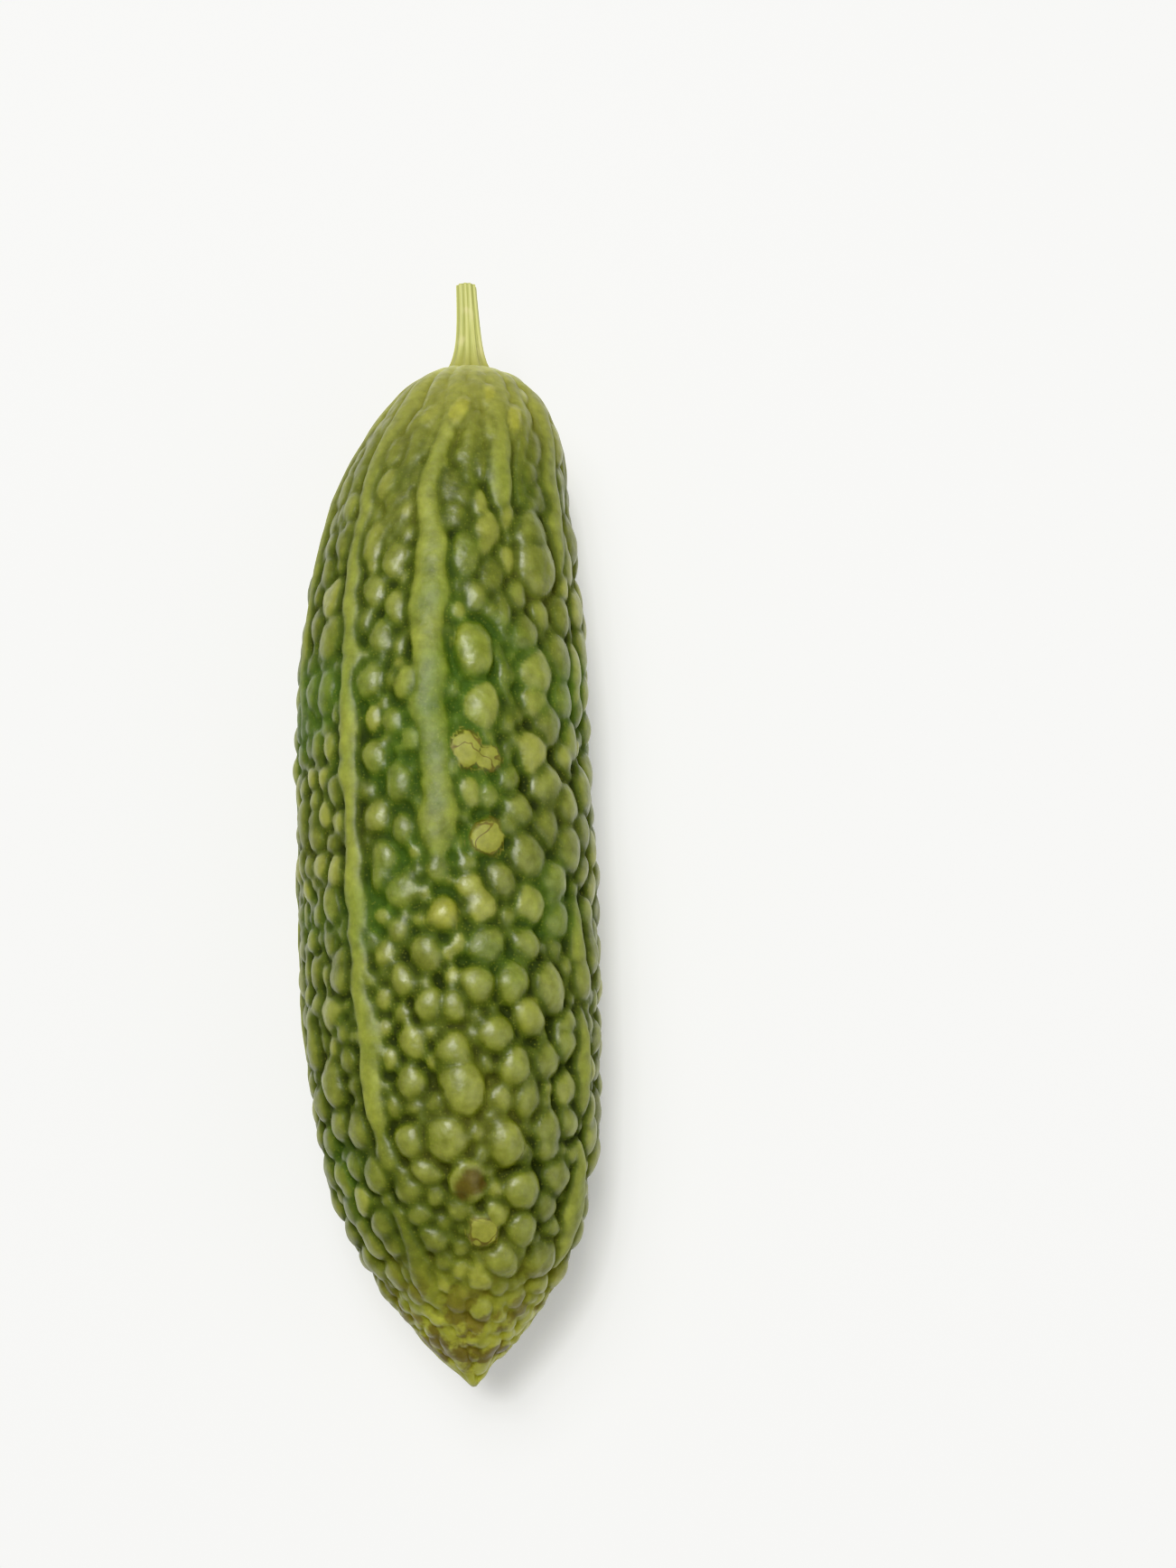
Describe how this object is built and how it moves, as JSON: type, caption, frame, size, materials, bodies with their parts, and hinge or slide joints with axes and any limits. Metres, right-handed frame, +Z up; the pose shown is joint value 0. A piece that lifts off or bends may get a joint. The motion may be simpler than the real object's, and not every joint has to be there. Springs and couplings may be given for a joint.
{
  "type": "bitter gourd",
  "caption": "Whole green bitter gourd lying on its side, with long blunt ridges, packed round warts, a pointed blossom tip and a short cut stem.",
  "frame": {"origin": "on the surface that the gourd lies on, under the centre of its bounding box", "axes": "+Y along the gourd towards its stem, +Z up from the resting surface, +X to the right seen from above with the stem away"},
  "size_m": [0.0664, 0.2494, 0.0643],
  "materials": {
    "skin": "waxy half-gloss vegetable skin, pale on the ridges and warts and dark green in the furrows",
    "stalk": "matte fibrous yellow-green stalk with a dry pale cut end"
  },
  "bodies": {
    "root": {"fruit": "skin", "stem": "stalk"}
  },
  "joints": []
}
